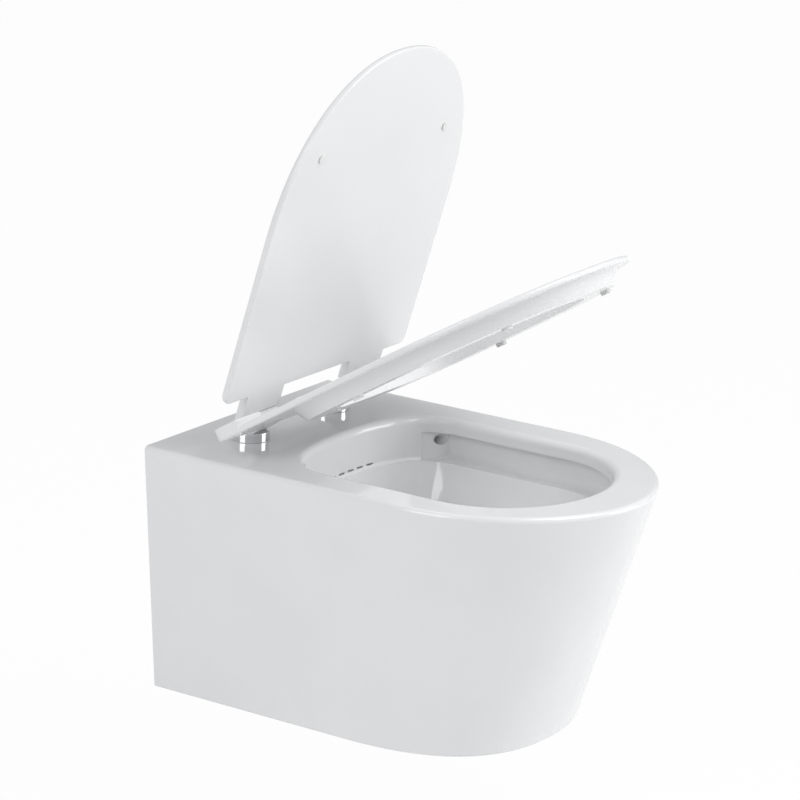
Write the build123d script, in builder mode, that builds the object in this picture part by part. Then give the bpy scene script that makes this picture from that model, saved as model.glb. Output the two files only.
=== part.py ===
from build123d import *
import math
import os

# Wall hung toilet with a rimless bowl, a slim seat and lid on soft-close hinges.
# Millimetres, +Z up. The wall is the plane Y = 0 and the front points to -Y.
# The origin is on the wall, midway between the two wall studs.

# Wall connection, the standard frame pattern
stud_spacing = 180.0
stud_radius = 6.0
outlet_below_studs = 100.0
inlet_above_outlet = 135.0
flush_pipe_radius = 22.5
drain_pipe_radius = 45.0

# Pan, outside
pan_height = 285.0
pan_length = 520.0
pan_half_top = 176.5
pan_half_bottom = 151.0
pan_bottom_length = 426.0
pan_outlet_height = 110.0
front_depth_top = 187.0
front_depth_bottom = 172.0
front_full_top = 0.515
front_full_bottom = 0.67
rim_round = 5.0
base_round = 4.0

# Pan, walls
shell_wall = 12.0
deck_thick = 14.0
floor_thick = 12.0
rear_wall = 16.0
bowl_wall = 10.0
pipe_wall = 9.0

# Bowl opening and flush channel
opening_half = 128.0
opening_front = 58.0
opening_rear = 139.5
opening_front_depth = 112.0
opening_rear_depth = 72.0
opening_full_front = 0.5523
opening_full_rear = 0.70
lip_round = 8.0
lip_under_round = 3.0
lip_height = 17.0
channel_depth = 50.0
channel_recess = 12.0
channel_start = 182.0
channel_start_slope = 12.0
channel_round = 11.0
ledge_width = 5.0
bowl_floor_below = 268.0
slot_count = 7
slot_width = 11.0
slot_height = 2.4
slot_pitch = 17.0
slot_above_ledge = 3.0
jet_radius = 6.0
jet_x = 131.0
jet_drop = 27.0

# Trap and water ways
trap_radius = 26.0
trap_bend = 36.0
trap_start_height = 42.0
trap_inlet_from_wall = 232.0
trap_wall_from_wall = 214.0
trap_turn_from_wall = 170.0
weir_from_wall = 124.0
weir_fall_from_wall = 56.0
weir_corner_height = 170.0
chamber_half = 136.0
chamber_front = 122.0
chamber_back = 106.0
chamber_drop_low = 62.0
chamber_drop_high = 22.0
window_x = 102.0
window_z = -110.0
window_width = 68.0
window_height = 120.0
window_corner = 18.0
wrench_slot_from_wall = 48.0
wrench_slot_width = 44.0
wrench_slot_length = 50.0
seal_wall = 6.8
seal_gap = 0.2
inlet_socket = 46.0
outlet_socket = 46.0
inlet_seal_length = 40.0
outlet_seal_length = 40.0

# Hinge line
hinge_spacing = 155.0
hinge_hole_from_wall = 69.0
axis_from_wall = 93.0
axis_above_deck = 29.5
barrel_radius = 10.0
fit_clearance = 0.05
side_clearance = 0.4
swing_clearance = 1.0
block_width = 24.0
block_foot = 28.0
seat_barrel_length = 19.6
lid_barrel_length = 20.0
damper_radius = 7.5
shaft_radius = 3.0
shaft_square = 4.0
sleeve_radius = 5.0

# Hinge bases
deck_hole_radius = 7.3
base_radius = 22.0
base_height = 10.0
gasket_thick = 0.5
post_radius = 5.0
post_height = 10.0
post_flange_radius = 16.0
post_flange_thick = 3.0
screw_radius = 3.0
plug_below_deck = 14.0
plug_bulge_radius = 9.5
plug_nut_flats = 14.0
plug_nut_height = 8.0
base_edge_round = 1.2
block_foot_height = 8.0
block_edge_round = 1.5
block_wall = 3.0
sleeve_seat = 13.0
damper_shaft_depth = 10.5
lid_pin_depth = 7.5
damper_end = 3.5

# Seat
seat_half = 175.0
seat_reach = 424.0
seat_front_depth = 200.0
seat_full = 0.60
seat_top_below_axis = 2.0
seat_plate_thick = 7.0
seat_thick = 23.5
seat_corner = 26.0
seat_edge_round = 3.0
seat_rear_behind_axis = 12.0
seat_opening_half = 113.0
seat_opening_front = 364.0
seat_opening_rear = 86.0
seat_opening_front_depth = 118.0
seat_opening_rear_depth = 66.0
seat_skirt_width = 36.0
seat_skirt_spread = 10.0
seat_rise_above_axis = 6.0
seat_rise_round = 2.0
seat_angle = 31.3

# Lid
lid_half = 172.6
lid_reach = 427.0
lid_thick = 9.0
lid_gap = 2.0
lid_rear_from_axis = 35.5
lid_corner = 10.0
lid_outer_round = 6.0
lid_inner_round = 1.5
lid_lug_inner = 63.0
lid_angle = 73.9

# Bumpers
seat_bumper_radius = 6.0
seat_bumper_front = (100.0, 349.0)
seat_bumper_rear = (141.5, 170.0)
lid_bumper_radius = 5.0
lid_bumper_place = (118.0, 318.0)
bumper_gap = 0.3

# Wall fixings
fixing_hole_radius = 13.0
sleeve_bore = 6.5
sleeve_flange_radius = 17.0
sleeve_flange_thick = 3.0
washer_radius = 14.0
washer_thick = 2.5
nut_across_flats = 18.0
nut_height = 10.0

outlet_z = -outlet_below_studs
inlet_z = outlet_z + inlet_above_outlet
base_z = outlet_z - pan_outlet_height
deck_z = base_z + pan_height
axis_y = -axis_from_wall
axis_z = deck_z + axis_above_deck
hinge_x = hinge_spacing / 2
hinge_y = -hinge_hole_from_wall
opening_front_y = -pan_length + opening_front
opening_rear_y = -opening_rear
ledge_z = deck_z - channel_depth
floor_z = deck_z - bowl_floor_below
sides = (-1, 1)


def pan_half(z):
    """Half width of the outer shell at a height."""
    return pan_half_bottom + (pan_half_top - pan_half_bottom) * (z - base_z) / pan_height


def pan_front(z):
    """Front of the outer shell at a height."""
    return -pan_bottom_length - (pan_length - pan_bottom_length) * (z - base_z) / pan_height


def d_outline(plane, half, rear, front, depth, full):
    """A plan outline with a straight back, straight sides and a round front."""
    shoulder = front + depth
    with BuildSketch(plane) as outline:
        with BuildLine():
            Line((half, shoulder), (half, rear))
            Line((half, rear), (-half, rear))
            Line((-half, rear), (-half, shoulder))
            Bezier((-half, shoulder), (-half, shoulder - full * depth), (-full * half, front), (0, front))
            Bezier((0, front), (full * half, front), (half, shoulder - full * depth), (half, shoulder))
        make_face()
    return outline.sketch


def oval_outline(plane, half, front, rear, front_depth, rear_depth, grow=0.0):
    """An oval outline, rounder at the front and squarer at the rear, grown outwards evenly."""
    half, front, rear = half + grow, front - grow, rear + grow
    front_depth, rear_depth = front_depth + grow, rear_depth + grow
    near = front + front_depth
    far = rear - rear_depth
    ff, fr = opening_full_front, opening_full_rear
    with BuildSketch(plane) as outline:
        with BuildLine():
            Line((half, near), (half, far))
            Bezier((half, far), (half, far + fr * rear_depth), (fr * half, rear), (0, rear))
            Bezier((0, rear), (-fr * half, rear), (-half, far + fr * rear_depth), (-half, far))
            Line((-half, far), (-half, near))
            Bezier((-half, near), (-half, near - ff * front_depth), (-ff * half, front), (0, front))
            Bezier((0, front), (ff * half, front), (half, near - ff * front_depth), (half, near))
        make_face()
    return outline.sketch


def opening_outline(z, grow=0.0):
    """The bowl opening in the deck at a height, grown outwards evenly."""
    return oval_outline(Plane.XY.offset(z), opening_half, opening_front_y, opening_rear_y,
                        opening_front_depth, opening_rear_depth, grow)


def tilted(angle):
    """Plane through the hinge line of a closed or lifted seat or lid, its +Y towards the wall."""
    turn = math.radians(angle)
    return Plane(origin=(0, axis_y, axis_z), x_dir=(1, 0, 0), z_dir=(0, math.sin(turn), math.cos(turn)))


def across(x):
    """Plane across the hinge line at a side distance, facing +X."""
    return Plane(origin=(x, axis_y, axis_z), x_dir=(0, 1, 0), z_dir=(1, 0, 0))


def span(side, inner, outer):
    """Start and length along +X of a stretch between two distances on one side."""
    return (inner if side > 0 else -outer), outer - inner


# Bowl sections below the channel: drop from the deck, then half width, front and rear as shares of the
# opening, and how much of the length is rounded at the front and at the rear.
bowl_sections = (
    (channel_depth, 1.0, 1.0, 1.0, 0.35, 0.22),
    (100.0, 0.84, 0.925, 1.06, 0.35, 0.22),
    (150.0, 0.66, 0.80, 1.13, 0.36, 0.23),
    (205.0, 0.44, 0.66, 1.22, 0.36, 0.26),
    (bowl_floor_below, 0.29, 0.59, 1.32, 0.36, 0.32),
)


def bowl_section(drop, wide, near, far, near_round, far_round, grow):
    """One level section of the bowl, grown outwards by a wall."""
    half = wide * (opening_half - ledge_width)
    front = near * (opening_front_y + ledge_width)
    rear = far * (opening_rear_y - ledge_width)
    long = rear - front
    return oval_outline(Plane.XY.offset(deck_z - drop), half, front, rear, near_round * long, far_round * long, grow)


def bowl_faces(grow):
    """The bowl sections as sketches, grown outwards by a wall."""
    return [bowl_section(*section, grow) for section in bowl_sections]


# Space of the trap, from the sump over the weir to the drain
with BuildPart() as trap_space:
    with BuildLine(Plane.YZ) as trap_route:
        FilletPolyline(
            (-trap_inlet_from_wall, base_z + trap_start_height),
            (-trap_turn_from_wall, base_z + trap_start_height),
            (-weir_from_wall, base_z + weir_corner_height),
            (-weir_fall_from_wall, outlet_z),
            (0, outlet_z),
            radius=trap_bend,
        )
    with BuildSketch(Plane(origin=(0, -trap_inlet_from_wall, base_z + trap_start_height), z_dir=(0, 1, 0))):
        Circle(trap_radius)
    sweep(path=trap_route.wires()[0])

with BuildPart() as trap_wall:
    with BuildLine(Plane.YZ) as trap_wall_route:
        FilletPolyline(
            (-trap_wall_from_wall, base_z + trap_start_height),
            (-trap_turn_from_wall, base_z + trap_start_height),
            (-weir_from_wall, base_z + weir_corner_height),
            (-weir_fall_from_wall, outlet_z),
            (0, outlet_z),
            radius=trap_bend,
        )
    with BuildSketch(Plane(origin=(0, -trap_wall_from_wall, base_z + trap_start_height), z_dir=(0, 1, 0))):
        Circle(trap_radius + pipe_wall)
    sweep(path=trap_wall_route.wires()[0])

# Space inside the bowl, with the recessed flush channel under the lip
with BuildPart() as bowl_space:
    extrude(to_extrude=opening_outline(ledge_z), amount=channel_depth)
    fillet(bowl_space.faces().sort_by(Axis.Z)[0].edges(), ledge_width - 0.5)

with BuildPart() as channel_space:
    extrude(to_extrude=opening_outline(ledge_z, channel_recess), amount=channel_depth - lip_height)
    fillet(channel_space.faces().sort_by(Axis.Z)[0].edges(), channel_round)
    fillet(channel_space.faces().sort_by(Axis.Z)[-1].edges(), channel_recess / 3)
    with BuildSketch(Plane.XY.offset(ledge_z - 1)):
        with BuildLine():
            Polyline(
                (-2 * opening_half, 0),
                (2 * opening_half, 0),
                (2 * opening_half, -channel_start - channel_start_slope),
                (opening_half + channel_recess, -channel_start - channel_start_slope),
                (opening_half - channel_recess, -channel_start + channel_start_slope),
                (channel_recess - opening_half, -channel_start + channel_start_slope),
                (-opening_half - channel_recess, -channel_start - channel_start_slope),
                (-2 * opening_half, -channel_start - channel_start_slope),
                close=True,
            )
        make_face()
    extrude(amount=channel_depth + 2, mode=Mode.SUBTRACT)

with BuildPart() as lower_bowl:
    loft(sections=bowl_faces(0.0))

with BuildPart() as bowl_wall_solid:
    loft(sections=bowl_faces(bowl_wall))
    extrude(to_extrude=opening_outline(ledge_z - bowl_wall, channel_recess + bowl_wall),
            amount=channel_depth + bowl_wall - deck_thick / 2)

# Hollow of the ceramic shell around the bowl and the water ways
with BuildPart() as hollow:
    low = base_z + floor_thick
    high = deck_z - deck_thick
    loft(sections=[
        d_outline(Plane.XY.offset(low), pan_half(low) - shell_wall, -rear_wall, pan_front(low) + shell_wall,
                  front_depth_bottom - shell_wall / 2, front_full_bottom),
        d_outline(Plane.XY.offset(high), pan_half(high) - shell_wall, -rear_wall, pan_front(high) + shell_wall,
                  front_depth_top - shell_wall / 2, front_full_top),
    ], ruled=True)
    add(bowl_wall_solid.part, mode=Mode.SUBTRACT)
    add(trap_wall.part, mode=Mode.SUBTRACT)
    with BuildSketch(Plane.XZ):
        with Locations((0, inlet_z)):
            Circle(flush_pipe_radius + seal_wall + pipe_wall)
    extrude(amount=chamber_front, mode=Mode.SUBTRACT)
    with BuildSketch(Plane.XZ):
        with Locations((0, outlet_z)):
            Circle(drain_pipe_radius + seal_wall + pipe_wall)
    extrude(amount=outlet_socket + pipe_wall, mode=Mode.SUBTRACT)
    with BuildSketch(Plane.XY.offset(deck_z - chamber_drop_low - pipe_wall)):
        with Locations((0, -(chamber_front + chamber_back) / 2)):
            Rectangle(2 * (chamber_half + pipe_wall), chamber_front - chamber_back + 2 * pipe_wall)
    extrude(amount=chamber_drop_low - chamber_drop_high + 2 * pipe_wall, mode=Mode.SUBTRACT)
    for side in sides:
        with BuildSketch(Plane.XZ.offset(chamber_front)):
            with Locations((side * jet_x, deck_z - jet_drop)):
                Circle(jet_radius + pipe_wall)
        extrude(amount=channel_start - chamber_front + channel_start_slope, mode=Mode.SUBTRACT)

# One piece ceramic pan
with BuildPart() as pan:
    loft(sections=[
        d_outline(Plane.XY.offset(base_z), pan_half_bottom, rear_wall, -pan_bottom_length,
                  front_depth_bottom, front_full_bottom),
        d_outline(Plane.XY.offset(deck_z), pan_half_top, rear_wall, -pan_length,
                  front_depth_top, front_full_top),
    ], ruled=True)
    # The back is cut flat to stand on the wall
    with BuildSketch(Plane.XZ.offset(-2 * rear_wall)):
        Rectangle(4 * pan_half_top, 4 * pan_height)
    extrude(amount=2 * rear_wall, mode=Mode.SUBTRACT)
    rim = pan.faces().sort_by(Axis.Z)[-1].edges().sort_by(Axis.Y)[:-1]
    fillet(rim, rim_round)
    foot = pan.faces().sort_by(Axis.Z)[0].edges().sort_by(Axis.Y)[:-1]
    fillet(foot, base_round)
    add(hollow.part, mode=Mode.SUBTRACT)
    add(bowl_space.part, mode=Mode.SUBTRACT)
    add(channel_space.part, mode=Mode.SUBTRACT)
    add(lower_bowl.part, mode=Mode.SUBTRACT)
    # Rounded lip over the channel and round its opening
    mouth = pan.edges().filter_by(lambda e: abs((e @ 0.5).Z - deck_z) < 0.01 and abs((e @ 0.5).X) < opening_half + 1
                                  and opening_front_y - 1 < (e @ 0.5).Y < opening_rear_y + 1)
    print("mouth edges", len(mouth))
    fillet(mouth, lip_round)
    add(trap_space.part, mode=Mode.SUBTRACT)
    # Sockets for the flush pipe and the drain
    with BuildSketch(Plane.XZ):
        with Locations((0, inlet_z)):
            Circle(flush_pipe_radius + seal_wall)
    extrude(amount=inlet_socket, mode=Mode.SUBTRACT)
    with BuildSketch(Plane.XZ):
        with Locations((0, inlet_z)):
            Circle(flush_pipe_radius)
    extrude(amount=chamber_front, mode=Mode.SUBTRACT)
    with BuildSketch(Plane.XZ):
        with Locations((0, outlet_z)):
            Circle(drain_pipe_radius + seal_wall)
    extrude(amount=outlet_socket, mode=Mode.SUBTRACT)
    # Chamber that spreads the flush water, with the slots and the side jets
    with BuildSketch(Plane.XY.offset(deck_z - chamber_drop_low)):
        with Locations((0, -(chamber_front + chamber_back) / 2)):
            Rectangle(2 * chamber_half, chamber_front - chamber_back)
    extrude(amount=chamber_drop_low - chamber_drop_high, mode=Mode.SUBTRACT)
    with BuildSketch(Plane.XZ.offset(chamber_front - 1)):
        with Locations((0, ledge_z + slot_above_ledge + slot_height / 2)):
            with GridLocations(slot_pitch, 1, slot_count, 1):
                Rectangle(slot_width, slot_height)
    extrude(amount=channel_start - chamber_front - 2 * slot_above_ledge, mode=Mode.SUBTRACT)
    for side in sides:
        with BuildSketch(Plane.XZ.offset(chamber_front - 1)):
            with Locations((side * jet_x, deck_z - jet_drop)):
                Circle(jet_radius)
        extrude(amount=channel_start - chamber_front + channel_start_slope, mode=Mode.SUBTRACT)
    # Wall fixing holes, rear windows and the wrench slots underneath
    with BuildSketch(Plane.XZ):
        with Locations((-stud_spacing / 2, 0), (stud_spacing / 2, 0)):
            Circle(fixing_hole_radius)
        with Locations((-window_x, window_z), (window_x, window_z)):
            RectangleRounded(window_width, window_height, window_corner)
    extrude(amount=rear_wall + 1, mode=Mode.SUBTRACT)
    with BuildSketch(Plane.XY.offset(base_z)):
        with Locations((-stud_spacing / 2, -wrench_slot_from_wall), (stud_spacing / 2, -wrench_slot_from_wall)):
            RectangleRounded(wrench_slot_width, wrench_slot_length, wrench_slot_width / 4)
    extrude(amount=floor_thick + 1, mode=Mode.SUBTRACT)
    # Seat fixing holes in the deck
    with BuildSketch(Plane.XY.offset(deck_z)):
        with Locations((-hinge_x, hinge_y), (hinge_x, hinge_y)):
            Circle(deck_hole_radius)
    extrude(amount=-deck_thick - 1, mode=Mode.SUBTRACT)
pan.part.label = "pan"
print("pan", round(pan.part.volume), len(pan.solids()), len(pan.faces()))

# Seat ring, drawn in the tilted plane of its photographed pose
seat_plane = tilted(seat_angle)
seat_top = -seat_top_below_axis
seat_under = seat_top - seat_thick
seat_plate_under = seat_top - seat_plate_thick
knuckle_inner = block_width / 2 + side_clearance
knuckle_end = knuckle_inner + seat_barrel_length
lug_start = knuckle_end + side_clearance
lug_end = lug_start + lid_barrel_length
notch_depth = barrel_radius + swing_clearance + 0.5
rise_front = lid_rear_from_axis - lid_gap


def seat_outline(height):
    """Plan outline of the seat at a height over the hinge line, square at the rear."""
    return d_outline(seat_plane.offset(height), seat_half, seat_rear_behind_axis, -seat_reach,
                     seat_front_depth, seat_full)


def seat_opening(height, grow=0.0):
    """Opening of the seat at a height over the hinge line, grown outwards evenly."""
    return oval_outline(seat_plane.offset(height), seat_opening_half, -seat_opening_front, -seat_opening_rear,
                        seat_opening_front_depth, seat_opening_rear_depth, grow)


def rear_corners(body, thick):
    """The two upright edges at the rear corners of a seat or lid plate."""
    upright = body.edges().filter_by(lambda e: abs(e.length - thick) < 0.1 and abs((e @ 0.5).X) > hinge_spacing)
    return upright.sort_by(lambda e: -(e @ 0.5).Y)[:2]


with BuildPart() as seat_plate:
    extrude(to_extrude=seat_outline(seat_plate_under), amount=seat_plate_thick)
    fillet(rear_corners(seat_plate, seat_plate_thick), seat_corner)
    broad = seat_plate.faces().sort_by(Axis((0, 0, 0), tuple(seat_plane.z_dir)))
    fillet(broad[0].edges() + broad[-1].edges(), seat_edge_round)

# Raised rear of the seat, level with the closed lid and open where the lid's lugs pass
with BuildPart() as seat_rise:
    extrude(to_extrude=seat_outline(seat_plate_under + seat_edge_round),
            amount=seat_rise_above_axis - seat_plate_under - seat_edge_round)
    fillet(rear_corners(seat_rise, seat_rise_above_axis - seat_plate_under - seat_edge_round), seat_corner)
    with BuildSketch(seat_plane.offset(seat_under)):
        with Locations((0, -rise_front - seat_reach / 2)):
            Rectangle(3 * seat_half, seat_reach)
    extrude(amount=seat_thick * 2, mode=Mode.SUBTRACT)
    for side in sides:
        start, length = span(side, lid_lug_inner - side_clearance, hinge_x + lug_end + side_clearance)
        with BuildSketch(seat_plane.offset(seat_under)):
            with Locations((start + length / 2, 0)):
                Rectangle(length, 4 * lid_rear_from_axis)
        extrude(amount=seat_thick * 2, mode=Mode.SUBTRACT)
    tops = seat_rise.faces().sort_by(Axis((0, 0, 0), tuple(seat_plane.z_dir)))[-3:]
    fillet(tops.edges(), seat_rise_round)

with BuildPart() as seat_ring:
    add(seat_plate.part)
    add(seat_rise.part)
    loft(sections=[
        seat_opening(seat_under, seat_skirt_width),
        seat_opening(seat_plate_under + 1, seat_skirt_width + seat_skirt_spread),
    ], ruled=True)
    extrude(to_extrude=seat_opening(seat_under - 1), amount=seat_thick + 2, mode=Mode.SUBTRACT)
    for side in sides:
        start, length = span(side, hinge_x - block_width / 2 - side_clearance, hinge_x + lug_end + side_clearance)
        with BuildSketch(seat_plane.offset(seat_under - 1)):
            with Locations((start + length / 2, 0)):
                Rectangle(length, 2 * notch_depth + 2)
        extrude(amount=seat_thick + 2, mode=Mode.SUBTRACT)
        start, length = span(side, hinge_x + knuckle_inner, hinge_x + knuckle_end)
        with BuildSketch(seat_plane.offset(seat_plate_under)):
            with Locations((start + length / 2, -notch_depth / 2 - 1)):
                Rectangle(length, notch_depth + 2)
        extrude(amount=seat_plate_thick)
        with BuildSketch(across(start)):
            Circle(barrel_radius)
        extrude(amount=length)
        with BuildSketch(across(start)):
            Circle(damper_radius if side < 0 else sleeve_radius + fit_clearance)
        extrude(amount=length, mode=Mode.SUBTRACT)
    for x, v in (seat_bumper_front, seat_bumper_rear):
        with BuildSketch(seat_plane.offset(seat_under)):
            with Locations((-x, -v), (x, -v)):
                Circle(seat_bumper_radius / 2)
        extrude(amount=seat_thick / 3, mode=Mode.SUBTRACT)
seat_ring.part.label = "seat_ring"
print("seat", round(seat_ring.part.volume), len(seat_ring.solids()), len(seat_ring.faces()))

# Buffers under the seat, pressed into its underside
seat_buffer_height = axis_above_deck - seat_top_below_axis - seat_thick - bumper_gap
with BuildPart() as seat_bumpers:
    for x, v in (seat_bumper_front, seat_bumper_rear):
        with BuildSketch(seat_plane.offset(seat_under)):
            with Locations((-x, -v), (x, -v)):
                Circle(seat_bumper_radius)
        extrude(amount=-seat_buffer_height)
        with BuildSketch(seat_plane.offset(seat_under)):
            with Locations((-x, -v), (x, -v)):
                Circle(seat_bumper_radius / 2)
        extrude(amount=seat_thick / 3)
seat_bumpers.part.label = "seat_bumpers"

# Lid with the two lugs that carry its outer barrels
lid_plane = tilted(lid_angle)
lid_under = seat_top + lid_gap
with BuildPart() as lid:
    extrude(to_extrude=d_outline(lid_plane.offset(lid_under), lid_half, -lid_rear_from_axis, -lid_reach,
                                 seat_front_depth, seat_full), amount=lid_thick)
    fillet(rear_corners(lid, lid_thick), lid_corner)
    broad = lid.faces().sort_by(Axis((0, 0, 0), tuple(lid_plane.z_dir)))
    fillet(broad[0].edges(), lid_inner_round)
    fillet(broad[-1].edges(), lid_outer_round)
    for side in sides:
        start, length = span(side, lid_lug_inner, hinge_x + lug_end)
        reach = lid_rear_from_axis + lid_outer_round + lid_inner_round
        with BuildSketch(lid_plane.offset(lid_under)):
            with Locations((start + length / 2, -(notch_depth + reach) / 2)):
                Rectangle(length, reach - notch_depth)
        extrude(amount=lid_thick)
        start, length = span(side, hinge_x + lug_start, hinge_x + lug_end)
        with BuildSketch(lid_plane.offset(lid_under)):
            with Locations((start + length / 2, -notch_depth / 2 - 1)):
                Rectangle(length, notch_depth + 2)
        extrude(amount=lid_thick)
        with BuildSketch(across(start)):
            Circle(barrel_radius)
        extrude(amount=length)
        bore_start, bore_length = span(side, hinge_x + lug_start, hinge_x + lug_end - 2)
        with BuildSketch(across(bore_start)):
            Circle(damper_radius if side > 0 else shaft_radius + fit_clearance)
        extrude(amount=bore_length, mode=Mode.SUBTRACT)
    with BuildSketch(lid_plane.offset(lid_under)):
        with Locations((-lid_bumper_place[0], -lid_bumper_place[1]), (lid_bumper_place[0], -lid_bumper_place[1])):
            Circle(lid_bumper_radius / 2)
    extrude(amount=lid_thick / 3, mode=Mode.SUBTRACT)
lid.part.label = "lid"
print("lid", round(lid.part.volume), len(lid.solids()), len(lid.faces()))

with BuildPart() as lid_bumpers:
    for radius, height in ((lid_bumper_radius, bumper_gap - lid_gap), (lid_bumper_radius / 2, lid_thick / 3)):
        with BuildSketch(lid_plane.offset(lid_under)):
            with Locations((-lid_bumper_place[0], -lid_bumper_place[1]),
                           (lid_bumper_place[0], -lid_bumper_place[1])):
                Circle(radius)
        extrude(amount=height)
lid_bumpers.part.label = "lid_bumpers"

# Hinge bases on the deck
base_under = deck_z + gasket_thick
base_top = base_under + base_height
post_top = base_top + post_height
plug_low = deck_z - deck_thick - plug_below_deck
nut_low = plug_low - plug_nut_height
screw_low = nut_low - 1

with BuildPart() as base_gaskets:
    with BuildSketch(Plane.XY.offset(deck_z)):
        with Locations((-hinge_x, hinge_y), (hinge_x, hinge_y)):
            Circle(base_radius - 0.5)
            Circle(screw_radius + fit_clearance, mode=Mode.SUBTRACT)
    extrude(amount=gasket_thick)
base_gaskets.part.label = "base_gaskets"

with BuildPart() as expansion_plugs:
    with BuildSketch(Plane.XY.offset(plug_low)):
        with Locations((-hinge_x, hinge_y), (hinge_x, hinge_y)):
            Circle(deck_hole_radius - 2 * fit_clearance)
    extrude(amount=deck_z - plug_low)
    with BuildSketch(Plane.XY.offset(plug_low)):
        with Locations((-hinge_x, hinge_y), (hinge_x, hinge_y)):
            Circle(plug_bulge_radius)
    extrude(amount=plug_below_deck)
    with BuildSketch(Plane.XY.offset(plug_low)):
        with Locations((-hinge_x, hinge_y), (hinge_x, hinge_y)):
            Circle(screw_radius + fit_clearance)
    extrude(amount=deck_z - plug_low, mode=Mode.SUBTRACT)
expansion_plugs.part.label = "expansion_plugs"

with BuildPart() as plug_nuts:
    with BuildSketch(Plane.XY.offset(nut_low)):
        with Locations((-hinge_x, hinge_y), (hinge_x, hinge_y)):
            RegularPolygon(plug_nut_flats / 2, 6, major_radius=False)
            Circle(screw_radius + fit_clearance, mode=Mode.SUBTRACT)
    extrude(amount=plug_nut_height)
plug_nuts.part.label = "plug_nuts"

# Chrome cover discs
with BuildPart() as hinge_base_left:
    with BuildSketch(Plane.XY.offset(base_under)):
        with Locations((-hinge_x, hinge_y)):
            Circle(base_radius)
    extrude(amount=base_height)
    fillet(hinge_base_left.faces().sort_by(Axis.Z)[-1].edges(), base_edge_round)
    with BuildSketch(Plane.XY.offset(base_under)):
        with Locations((-hinge_x, hinge_y)):
            Circle(post_flange_radius + fit_clearance)
    extrude(amount=post_flange_thick, mode=Mode.SUBTRACT)
    with BuildSketch(Plane.XY.offset(base_under)):
        with Locations((-hinge_x, hinge_y)):
            Circle(post_radius + fit_clearance)
    extrude(amount=base_height, mode=Mode.SUBTRACT)
hinge_base_left.part.label = "hinge_base_left"

with BuildPart() as hinge_base_right:
    mirror(hinge_base_left.part, about=Plane.YZ)
hinge_base_right.part.label = "hinge_base_right"

# Stainless posts clamped through the deck
with BuildPart() as pivot_post_left:
    with BuildSketch(Plane.XY.offset(base_under)):
        with Locations((-hinge_x, hinge_y)):
            Circle(post_flange_radius)
    extrude(amount=post_flange_thick)
    with BuildSketch(Plane.XY.offset(base_under)):
        with Locations((-hinge_x, hinge_y)):
            Circle(post_radius)
    extrude(amount=post_top - base_under)
    chamfer(pivot_post_left.faces().sort_by(Axis.Z)[-1].edges(), post_radius / 8)
    with BuildSketch(Plane.XY.offset(screw_low)):
        with Locations((-hinge_x, hinge_y)):
            Circle(screw_radius)
    extrude(amount=base_under - screw_low)
pivot_post_left.part.label = "pivot_post_left"

with BuildPart() as pivot_post_right:
    mirror(pivot_post_left.part, about=Plane.YZ)
pivot_post_right.part.label = "pivot_post_right"


def block_profile(x):
    """Outline of a hinge block from its foot on the base up around the hinge line."""
    with BuildSketch(Plane.YZ.offset(x)) as profile:
        with Locations((axis_y, axis_z)):
            Circle(barrel_radius)
        with Locations((hinge_y, base_top + block_foot_height / 2)):
            Rectangle(block_foot, block_foot_height)
        make_hull()
    return profile.sketch


# White hinge blocks that slide down over the posts
with BuildPart() as hinge_block_left:
    extrude(to_extrude=block_profile(-hinge_x - block_width / 2), amount=block_width)
    ends = hinge_block_left.faces().sort_by(Axis.X)
    fillet(ends[0].edges().sort_by(Axis.Z)[1:] + ends[-1].edges().sort_by(Axis.Z)[1:], block_edge_round)
    with BuildSketch(Plane.XY.offset(base_top)):
        with Locations((-hinge_x, hinge_y)):
            Circle(post_radius + fit_clearance)
    extrude(amount=post_height + bumper_gap, mode=Mode.SUBTRACT)
    with BuildSketch(across(-hinge_x - block_width / 2)):
        Rectangle(shaft_square + 2 * fit_clearance, shaft_square + 2 * fit_clearance)
    extrude(amount=block_width - block_wall, mode=Mode.SUBTRACT)
hinge_block_left.part.label = "hinge_block_left"

with BuildPart() as hinge_block_right:
    extrude(to_extrude=block_profile(hinge_x - block_width / 2), amount=block_width)
    ends = hinge_block_right.faces().sort_by(Axis.X)
    fillet(ends[0].edges().sort_by(Axis.Z)[1:] + ends[-1].edges().sort_by(Axis.Z)[1:], block_edge_round)
    with BuildSketch(Plane.XY.offset(base_top)):
        with Locations((hinge_x, hinge_y)):
            Circle(post_radius + fit_clearance)
    extrude(amount=post_height + bumper_gap, mode=Mode.SUBTRACT)
    with BuildSketch(across(hinge_x + block_width / 2)):
        Rectangle(shaft_square + 2 * fit_clearance, shaft_square + 2 * fit_clearance)
    extrude(amount=block_wall - block_width, mode=Mode.SUBTRACT)
    with BuildSketch(across(hinge_x + block_width / 2)):
        Circle(sleeve_radius + fit_clearance)
    extrude(amount=-sleeve_seat, mode=Mode.SUBTRACT)
hinge_block_right.part.label = "hinge_block_right"

# Seat damper in the left knuckle, its shaft keyed into the left block
seat_damper_near = -hinge_x - knuckle_inner
seat_damper_far = -hinge_x - knuckle_end
with BuildPart() as seat_damper_body:
    with BuildSketch(across(seat_damper_far)):
        Circle(damper_radius - fit_clearance)
    extrude(amount=seat_barrel_length)
    with BuildSketch(across(seat_damper_near)):
        Circle(shaft_radius + fit_clearance)
    extrude(amount=-damper_shaft_depth, mode=Mode.SUBTRACT)
    with BuildSketch(across(seat_damper_far)):
        Circle(shaft_radius + fit_clearance)
    extrude(amount=lid_pin_depth, mode=Mode.SUBTRACT)
seat_damper_body.part.label = "seat_damper_body"

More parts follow.
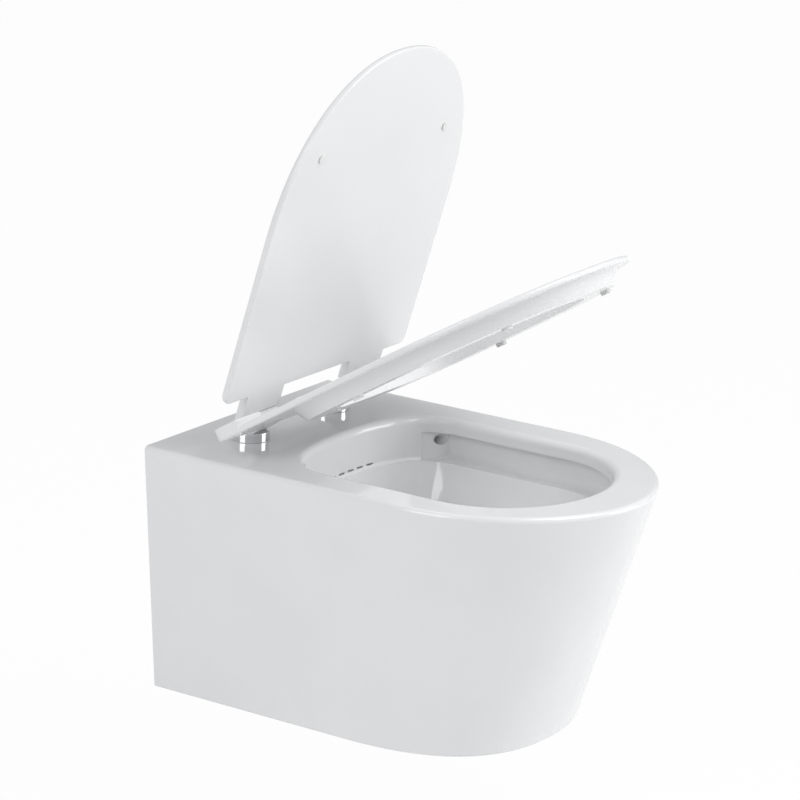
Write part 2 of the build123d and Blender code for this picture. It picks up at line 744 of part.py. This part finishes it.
with BuildPart() as seat_damper_shaft:
    with BuildSketch(across(-hinge_x - block_width / 2)):
        Rectangle(shaft_square, shaft_square)
    extrude(amount=block_width - block_wall - side_clearance)
    with BuildSketch(across(-hinge_x - block_width / 2)):
        Circle(shaft_radius)
    extrude(amount=-damper_shaft_depth - side_clearance / 2)
seat_damper_shaft.part.label = "seat_damper_shaft"

# Pin of the lid's left barrel, running in the end of the seat damper
with BuildPart() as lid_hinge_pin:
    with BuildSketch(across(-hinge_x - lug_end + 2)):
        Circle(shaft_radius)
    extrude(amount=lid_barrel_length - 2 + side_clearance + lid_pin_depth - side_clearance / 2)
lid_hinge_pin.part.label = "lid_hinge_pin"

# Sleeve in the right block on which the seat turns; the lid damper's shaft runs through it
with BuildPart() as seat_hinge_sleeve:
    with BuildSketch(across(hinge_x + block_width / 2 - sleeve_seat)):
        Circle(sleeve_radius)
        Circle(shaft_radius + 2 * fit_clearance, mode=Mode.SUBTRACT)
    extrude(amount=sleeve_seat + side_clearance + seat_barrel_length)
seat_hinge_sleeve.part.label = "seat_hinge_sleeve"

with BuildPart() as lid_damper_body:
    with BuildSketch(across(hinge_x + lug_start)):
        Circle(damper_radius - fit_clearance)
        Circle(shaft_radius + fit_clearance, mode=Mode.SUBTRACT)
    extrude(amount=lid_barrel_length - 2)
    with BuildSketch(across(hinge_x + lug_end - 2)):
        Circle(damper_radius - fit_clearance)
    extrude(amount=-damper_end)
lid_damper_body.part.label = "lid_damper_body"

with BuildPart() as lid_damper_shaft:
    with BuildSketch(across(hinge_x + block_width / 2 - sleeve_seat)):
        Rectangle(shaft_square, shaft_square)
    extrude(amount=sleeve_seat + block_wall + side_clearance - block_width)
    with BuildSketch(across(hinge_x + block_width / 2 - sleeve_seat)):
        Circle(shaft_radius)
    extrude(amount=sleeve_seat + lug_start - block_width / 2 + lid_barrel_length - 2 - damper_end - side_clearance / 2)
lid_damper_shaft.part.label = "lid_damper_shaft"

# Seals that take the flush pipe and the drain pipe
with BuildPart() as inlet_seal:
    with BuildSketch(Plane.XZ):
        with Locations((0, inlet_z)):
            Circle(flush_pipe_radius + seal_wall - seal_gap)
            Circle(flush_pipe_radius, mode=Mode.SUBTRACT)
    extrude(amount=inlet_seal_length)
inlet_seal.part.label = "inlet_seal"

with BuildPart() as outlet_seal:
    with BuildSketch(Plane.XZ):
        with Locations((0, outlet_z)):
            Circle(drain_pipe_radius + seal_wall - seal_gap)
            Circle(drain_pipe_radius, mode=Mode.SUBTRACT)
    extrude(amount=outlet_seal_length)
outlet_seal.part.label = "outlet_seal"

# Wall fixings inside the pan
sleeve_back = rear_wall + sleeve_flange_thick
washer_back = sleeve_back + washer_thick
with BuildPart() as fixing_sleeves:
    with BuildSketch(Plane.XZ):
        with Locations((-stud_spacing / 2, 0), (stud_spacing / 2, 0)):
            Circle(fixing_hole_radius - 2 * fit_clearance)
    extrude(amount=rear_wall)
    with BuildSketch(Plane.XZ.offset(rear_wall)):
        with Locations((-stud_spacing / 2, 0), (stud_spacing / 2, 0)):
            Circle(sleeve_flange_radius)
    extrude(amount=sleeve_flange_thick)
    with BuildSketch(Plane.XZ):
        with Locations((-stud_spacing / 2, 0), (stud_spacing / 2, 0)):
            Circle(sleeve_bore)
    extrude(amount=sleeve_back, mode=Mode.SUBTRACT)
fixing_sleeves.part.label = "fixing_sleeves"

with BuildPart() as fixing_washers:
    with BuildSketch(Plane.XZ.offset(sleeve_back)):
        with Locations((-stud_spacing / 2, 0), (stud_spacing / 2, 0)):
            Circle(washer_radius)
            Circle(sleeve_bore, mode=Mode.SUBTRACT)
    extrude(amount=washer_thick)
fixing_washers.part.label = "fixing_washers"

with BuildPart() as fixing_nuts:
    with BuildSketch(Plane.XZ.offset(washer_back)):
        with Locations((-stud_spacing / 2, 0), (stud_spacing / 2, 0)):
            RegularPolygon(nut_across_flats / 2, 6, major_radius=False)
            Circle(stud_radius + 2 * fit_clearance, mode=Mode.SUBTRACT)
    extrude(amount=nut_height)
fixing_nuts.part.label = "fixing_nuts"

os.makedirs("parts", exist_ok=True)
export_step(pan.part, "parts/pan.step")
export_step(seat_ring.part, "parts/seat_ring.step")
export_step(seat_bumpers.part, "parts/seat_bumpers.step")
export_step(lid.part, "parts/lid.step")
export_step(lid_bumpers.part, "parts/lid_bumpers.step")
export_step(base_gaskets.part, "parts/base_gaskets.step")
export_step(expansion_plugs.part, "parts/expansion_plugs.step")
export_step(plug_nuts.part, "parts/plug_nuts.step")
export_step(hinge_base_left.part, "parts/hinge_base_left.step")
export_step(hinge_base_right.part, "parts/hinge_base_right.step")
export_step(pivot_post_left.part, "parts/pivot_post_left.step")
export_step(pivot_post_right.part, "parts/pivot_post_right.step")
export_step(hinge_block_left.part, "parts/hinge_block_left.step")
export_step(hinge_block_right.part, "parts/hinge_block_right.step")
export_step(seat_damper_body.part, "parts/seat_damper_body.step")
export_step(seat_damper_shaft.part, "parts/seat_damper_shaft.step")
export_step(lid_hinge_pin.part, "parts/lid_hinge_pin.step")
export_step(seat_hinge_sleeve.part, "parts/seat_hinge_sleeve.step")
export_step(lid_damper_body.part, "parts/lid_damper_body.step")
export_step(lid_damper_shaft.part, "parts/lid_damper_shaft.step")
export_step(inlet_seal.part, "parts/inlet_seal.step")
export_step(outlet_seal.part, "parts/outlet_seal.step")
export_step(fixing_sleeves.part, "parts/fixing_sleeves.step")
export_step(fixing_washers.part, "parts/fixing_washers.step")
export_step(fixing_nuts.part, "parts/fixing_nuts.step")
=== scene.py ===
import math
import bpy
from mathutils import Matrix, Vector

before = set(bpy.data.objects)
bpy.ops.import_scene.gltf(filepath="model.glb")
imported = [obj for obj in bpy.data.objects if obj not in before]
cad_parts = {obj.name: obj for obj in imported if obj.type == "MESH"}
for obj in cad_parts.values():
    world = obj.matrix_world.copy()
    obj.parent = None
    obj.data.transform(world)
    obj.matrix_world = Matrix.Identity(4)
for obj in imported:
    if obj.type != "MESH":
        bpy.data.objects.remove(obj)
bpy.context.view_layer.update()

# Picture: camera place and aim in metres, its turn about the view line in radians, lens in millimetres
eye = Vector((-3.0503, -2.1925, 1.1690))
aim = Vector((0.08426, -0.15806, 0.09958))
roll = 0.037
sensor_width = 36.0
lens = 156.6

# Surroundings: floor height and reach, how white the floor shows, and the strength of the room light
floor_z = -0.345
floor_reach = 12.0
floor_colour = (0.86, 0.86, 0.86, 1)
floor_white_share = 0.96
room_colour = (0.97, 0.98, 1.0, 1)
room_strength = 0.5
middle = (0.0, -0.25, 0.1)


def nodes_of(name):
    """A new node material with an empty tree."""
    mat = bpy.data.materials.new(name)
    mat.use_nodes = True
    tree = mat.node_tree
    tree.nodes.clear()
    out = tree.nodes.new("ShaderNodeOutputMaterial")
    bsdf = tree.nodes.new("ShaderNodeBsdfPrincipled")
    tree.links.new(bsdf.outputs[0], out.inputs[0])
    return mat, tree, bsdf


def mottled(tree, low, high, scale):
    """A soft cloud of two near colours in object space."""
    coord = tree.nodes.new("ShaderNodeTexCoord")
    noise = tree.nodes.new("ShaderNodeTexNoise")
    noise.inputs["Scale"].default_value = scale
    noise.inputs["Detail"].default_value = 4.0
    ramp = tree.nodes.new("ShaderNodeValToRGB")
    ramp.color_ramp.elements[0].position = 0.35
    ramp.color_ramp.elements[0].color = (*low, 1)
    ramp.color_ramp.elements[1].position = 0.65
    ramp.color_ramp.elements[1].color = (*high, 1)
    tree.links.new(coord.outputs["Object"], noise.inputs["Vector"])
    tree.links.new(noise.outputs["Fac"], ramp.inputs["Fac"])
    return coord, ramp


def bump(tree, bsdf, coord, scale, strength, distance):
    """Fine surface relief from noise."""
    noise = tree.nodes.new("ShaderNodeTexNoise")
    noise.inputs["Scale"].default_value = scale
    noise.inputs["Detail"].default_value = 3.0
    relief = tree.nodes.new("ShaderNodeBump")
    relief.inputs["Strength"].default_value = strength
    relief.inputs["Distance"].default_value = distance
    tree.links.new(coord.outputs["Object"], noise.inputs["Vector"])
    tree.links.new(noise.outputs["Fac"], relief.inputs["Height"])
    tree.links.new(relief.outputs["Normal"], bsdf.inputs["Normal"])


def roughness_cloud(tree, bsdf, coord, scale, low, high):
    """Slight patches of roughness."""
    noise = tree.nodes.new("ShaderNodeTexNoise")
    noise.inputs["Scale"].default_value = scale
    span = tree.nodes.new("ShaderNodeMapRange")
    span.inputs["To Min"].default_value = low
    span.inputs["To Max"].default_value = high
    tree.links.new(coord.outputs["Object"], noise.inputs["Vector"])
    tree.links.new(noise.outputs["Fac"], span.inputs["Value"])
    tree.links.new(span.outputs["Result"], bsdf.inputs["Roughness"])


def glaze():
    """White vitreous glaze over a slightly wavy ceramic body."""
    mat, tree, bsdf = nodes_of("glaze_white")
    coord, ramp = mottled(tree, (0.775, 0.78, 0.785), (0.80, 0.803, 0.806), 9.0)
    tree.links.new(ramp.outputs["Color"], bsdf.inputs["Base Color"])
    roughness_cloud(tree, bsdf, coord, 14.0, 0.05, 0.11)
    bump(tree, bsdf, coord, 11.0, 0.12, 0.0012)
    bsdf.inputs["IOR"].default_value = 1.52
    bsdf.inputs["Coat Weight"].default_value = 0.35
    bsdf.inputs["Coat Roughness"].default_value = 0.03
    return mat


def moulded(name, low, high, rough, grain, relief=0.05):
    """Moulded plastic with faint flow marks."""
    mat, tree, bsdf = nodes_of(name)
    coord, ramp = mottled(tree, low, high, 6.0)
    tree.links.new(ramp.outputs["Color"], bsdf.inputs["Base Color"])
    roughness_cloud(tree, bsdf, coord, 25.0, rough * 0.8, rough * 1.25)
    bump(tree, bsdf, coord, grain, relief, 0.0006)
    bsdf.inputs["IOR"].default_value = 1.47
    return mat


def metal(name, colour, rough, scale, relief, anisotropic=0.0):
    """Metal with fine turning or drawing marks."""
    mat, tree, bsdf = nodes_of(name)
    dark = tuple(c * 0.93 for c in colour)
    coord, ramp = mottled(tree, dark, colour, 40.0)
    tree.links.new(ramp.outputs["Color"], bsdf.inputs["Base Color"])
    roughness_cloud(tree, bsdf, coord, 120.0, rough * 0.75, rough * 1.35)
    bump(tree, bsdf, coord, scale, relief, 0.0003)
    bsdf.inputs["Metallic"].default_value = 1.0
    bsdf.inputs["Anisotropic"].default_value = anisotropic
    return mat


def soft_rubber(name, low, high):
    """Matt rubber with a fine grain."""
    mat, tree, bsdf = nodes_of(name)
    coord, ramp = mottled(tree, low, high, 60.0)
    tree.links.new(ramp.outputs["Color"], bsdf.inputs["Base Color"])
    roughness_cloud(tree, bsdf, coord, 90.0, 0.45, 0.7)
    bump(tree, bsdf, coord, 700.0, 0.2, 0.0003)
    return mat


white_seat = moulded("seat_white", (0.79, 0.793, 0.797), (0.81, 0.812, 0.815), 0.17, 60.0)
white_lid = moulded("lid_white", (0.79, 0.793, 0.797), (0.81, 0.812, 0.815), 0.2, 45.0)
white_block = moulded("block_white", (0.76, 0.763, 0.766), (0.79, 0.792, 0.795), 0.2, 160.0)
chrome = metal("chrome", (0.80, 0.81, 0.82), 0.06, 300.0, 0.02)
steel = metal("turned_steel", (0.56, 0.57, 0.58), 0.28, 900.0, 0.15, 0.4)
zinc = metal("zinc_plate", (0.55, 0.57, 0.58), 0.35, 500.0, 0.2)
brass = metal("brass", (0.72, 0.53, 0.24), 0.3, 600.0, 0.15)
pale_rubber = soft_rubber("pale_rubber", (0.74, 0.74, 0.73), (0.80, 0.80, 0.79))
clear_rubber = soft_rubber("clear_rubber", (0.50, 0.50, 0.50), (0.58, 0.58, 0.58))
black_rubber = soft_rubber("black_rubber", (0.018, 0.018, 0.018), (0.03, 0.03, 0.03))
dark_plastic = moulded("damper_grey", (0.03, 0.03, 0.032), (0.045, 0.045, 0.047), 0.4, 400.0, 0.2)
pale_plastic = moulded("bearing_plastic", (0.60, 0.60, 0.585), (0.66, 0.66, 0.645), 0.4, 300.0, 0.1)

finish = {
    "pan": glaze(),
    "seat_ring": white_seat,
    "seat_bumpers": pale_rubber,
    "lid": white_lid,
    "lid_bumpers": pale_rubber,
    "base_gaskets": clear_rubber,
    "expansion_plugs": black_rubber,
    "plug_nuts": brass,
    "hinge_base_left": chrome,
    "hinge_base_right": chrome,
    "pivot_post_left": steel,
    "pivot_post_right": steel,
    "hinge_block_left": white_block,
    "hinge_block_right": white_block,
    "seat_damper_body": dark_plastic,
    "seat_damper_shaft": steel,
    "lid_hinge_pin": steel,
    "seat_hinge_sleeve": pale_plastic,
    "lid_damper_body": dark_plastic,
    "lid_damper_shaft": steel,
    "inlet_seal": black_rubber,
    "outlet_seal": black_rubber,
    "fixing_sleeves": pale_plastic,
    "fixing_washers": zinc,
    "fixing_nuts": zinc,
}
for node, mat in finish.items():
    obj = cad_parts[node]
    if isinstance(obj, str):
        obj = bpy.data.objects[obj]
    for place in obj.material_slots:
        place.material = mat

# Camera at the photograph's viewing angle
ahead = (aim - eye).normalized()
right = ahead.cross(Vector((0, 0, 1))).normalized()
up = right.cross(ahead).normalized()
c, s = math.cos(roll), math.sin(roll)
cam_right = c * right + s * up
cam_up = c * up - s * right
cam_data = bpy.data.cameras.new("camera")
cam_data.sensor_width = sensor_width
cam_data.lens = lens
cam = bpy.data.objects.new("camera", cam_data)
bpy.context.scene.collection.objects.link(cam)
cam.matrix_world = Matrix((
    (cam_right.x, cam_up.x, -ahead.x, eye.x),
    (cam_right.y, cam_up.y, -ahead.y, eye.y),
    (cam_right.z, cam_up.z, -ahead.z, eye.z),
    (0, 0, 0, 1),
))
bpy.context.scene.camera = cam


def white_to_camera(tree, shader, out, share):
    """Show part of the surface as plain white to the camera and to reflections."""
    path = tree.nodes.new("ShaderNodeLightPath")
    most = tree.nodes.new("ShaderNodeMath")
    most.operation = "MAXIMUM"
    least = tree.nodes.new("ShaderNodeMath")
    least.operation = "MAXIMUM"
    tree.links.new(path.outputs["Is Camera Ray"], most.inputs[0])
    tree.links.new(path.outputs["Is Glossy Ray"], most.inputs[1])
    tree.links.new(most.outputs[0], least.inputs[0])
    tree.links.new(path.outputs["Is Transmission Ray"], least.inputs[1])
    amount = tree.nodes.new("ShaderNodeMath")
    amount.operation = "MULTIPLY"
    amount.inputs[1].default_value = share
    tree.links.new(least.outputs[0], amount.inputs[0])
    glow = tree.nodes.new("ShaderNodeEmission")
    glow.inputs["Color"].default_value = (1, 1, 1, 1)
    glow.inputs["Strength"].default_value = 1.0
    mix = tree.nodes.new("ShaderNodeMixShader")
    tree.links.new(amount.outputs[0], mix.inputs[0])
    tree.links.new(shader, mix.inputs[1])
    tree.links.new(glow.outputs[0], mix.inputs[2])
    tree.links.new(mix.outputs[0], out)


# Plain pale floor well below the hanging pan
floor_mat = bpy.data.materials.new("floor")
floor_mat.use_nodes = True
floor_tree = floor_mat.node_tree
floor_tree.nodes.clear()
floor_out = floor_tree.nodes.new("ShaderNodeOutputMaterial")
floor_body = floor_tree.nodes.new("ShaderNodeBsdfDiffuse")
floor_body.inputs["Color"].default_value = floor_colour
white_to_camera(floor_tree, floor_body.outputs[0], floor_out.inputs[0], floor_white_share)
floor_mesh = bpy.data.meshes.new("floor")
floor_mesh.from_pydata(
    [(x * floor_reach, y * floor_reach, floor_z) for x, y in ((-1, -1), (1, -1), (1, 1), (-1, 1))],
    [], [(0, 1, 2, 3)],
)
floor = bpy.data.objects.new("floor", floor_mesh)
floor_mesh.materials.append(floor_mat)
bpy.context.scene.collection.objects.link(floor)

# World: soft room light, white to the camera
world = bpy.data.worlds.new("room")
bpy.context.scene.world = world
world.use_nodes = True
wt = world.node_tree
wt.nodes.clear()
w_out = wt.nodes.new("ShaderNodeOutputWorld")
w_path = wt.nodes.new("ShaderNodeLightPath")
w_light = wt.nodes.new("ShaderNodeBackground")
w_light.inputs["Color"].default_value = room_colour
w_light.inputs["Strength"].default_value = room_strength
w_seen = wt.nodes.new("ShaderNodeBackground")
w_seen.inputs["Color"].default_value = (1, 1, 1, 1)
w_seen.inputs["Strength"].default_value = 1.0
w_mix = wt.nodes.new("ShaderNodeMixShader")
w_any = wt.nodes.new("ShaderNodeMath")
w_any.operation = "MAXIMUM"
wt.links.new(w_path.outputs["Is Camera Ray"], w_any.inputs[0])
wt.links.new(w_path.outputs["Is Transmission Ray"], w_any.inputs[1])
wt.links.new(w_any.outputs[0], w_mix.inputs[0])
wt.links.new(w_light.outputs[0], w_mix.inputs[1])
wt.links.new(w_seen.outputs[0], w_mix.inputs[2])
wt.links.new(w_mix.outputs[0], w_out.inputs[0])


def lamp(name, place, target, size, power):
    """A soft square studio lamp aimed at a point."""
    data = bpy.data.lights.new(name, "AREA")
    data.shape = "SQUARE"
    data.size = size
    data.energy = power
    obj = bpy.data.objects.new(name, data)
    obj.location = place
    obj.rotation_euler = (Vector(target) - Vector(place)).to_track_quat("-Z", "Y").to_euler()
    bpy.context.scene.collection.objects.link(obj)


lamp("key", (0.3, -1.9, 2.5), middle, 1.8, 38.0)
lamp("left", (-2.6, 0.2, 1.6), middle, 1.6, 26.0)
lamp("front", (1.7, -2.8, 0.8), middle, 1.6, 32.0)

bpy.context.scene.view_settings.view_transform = "Standard"
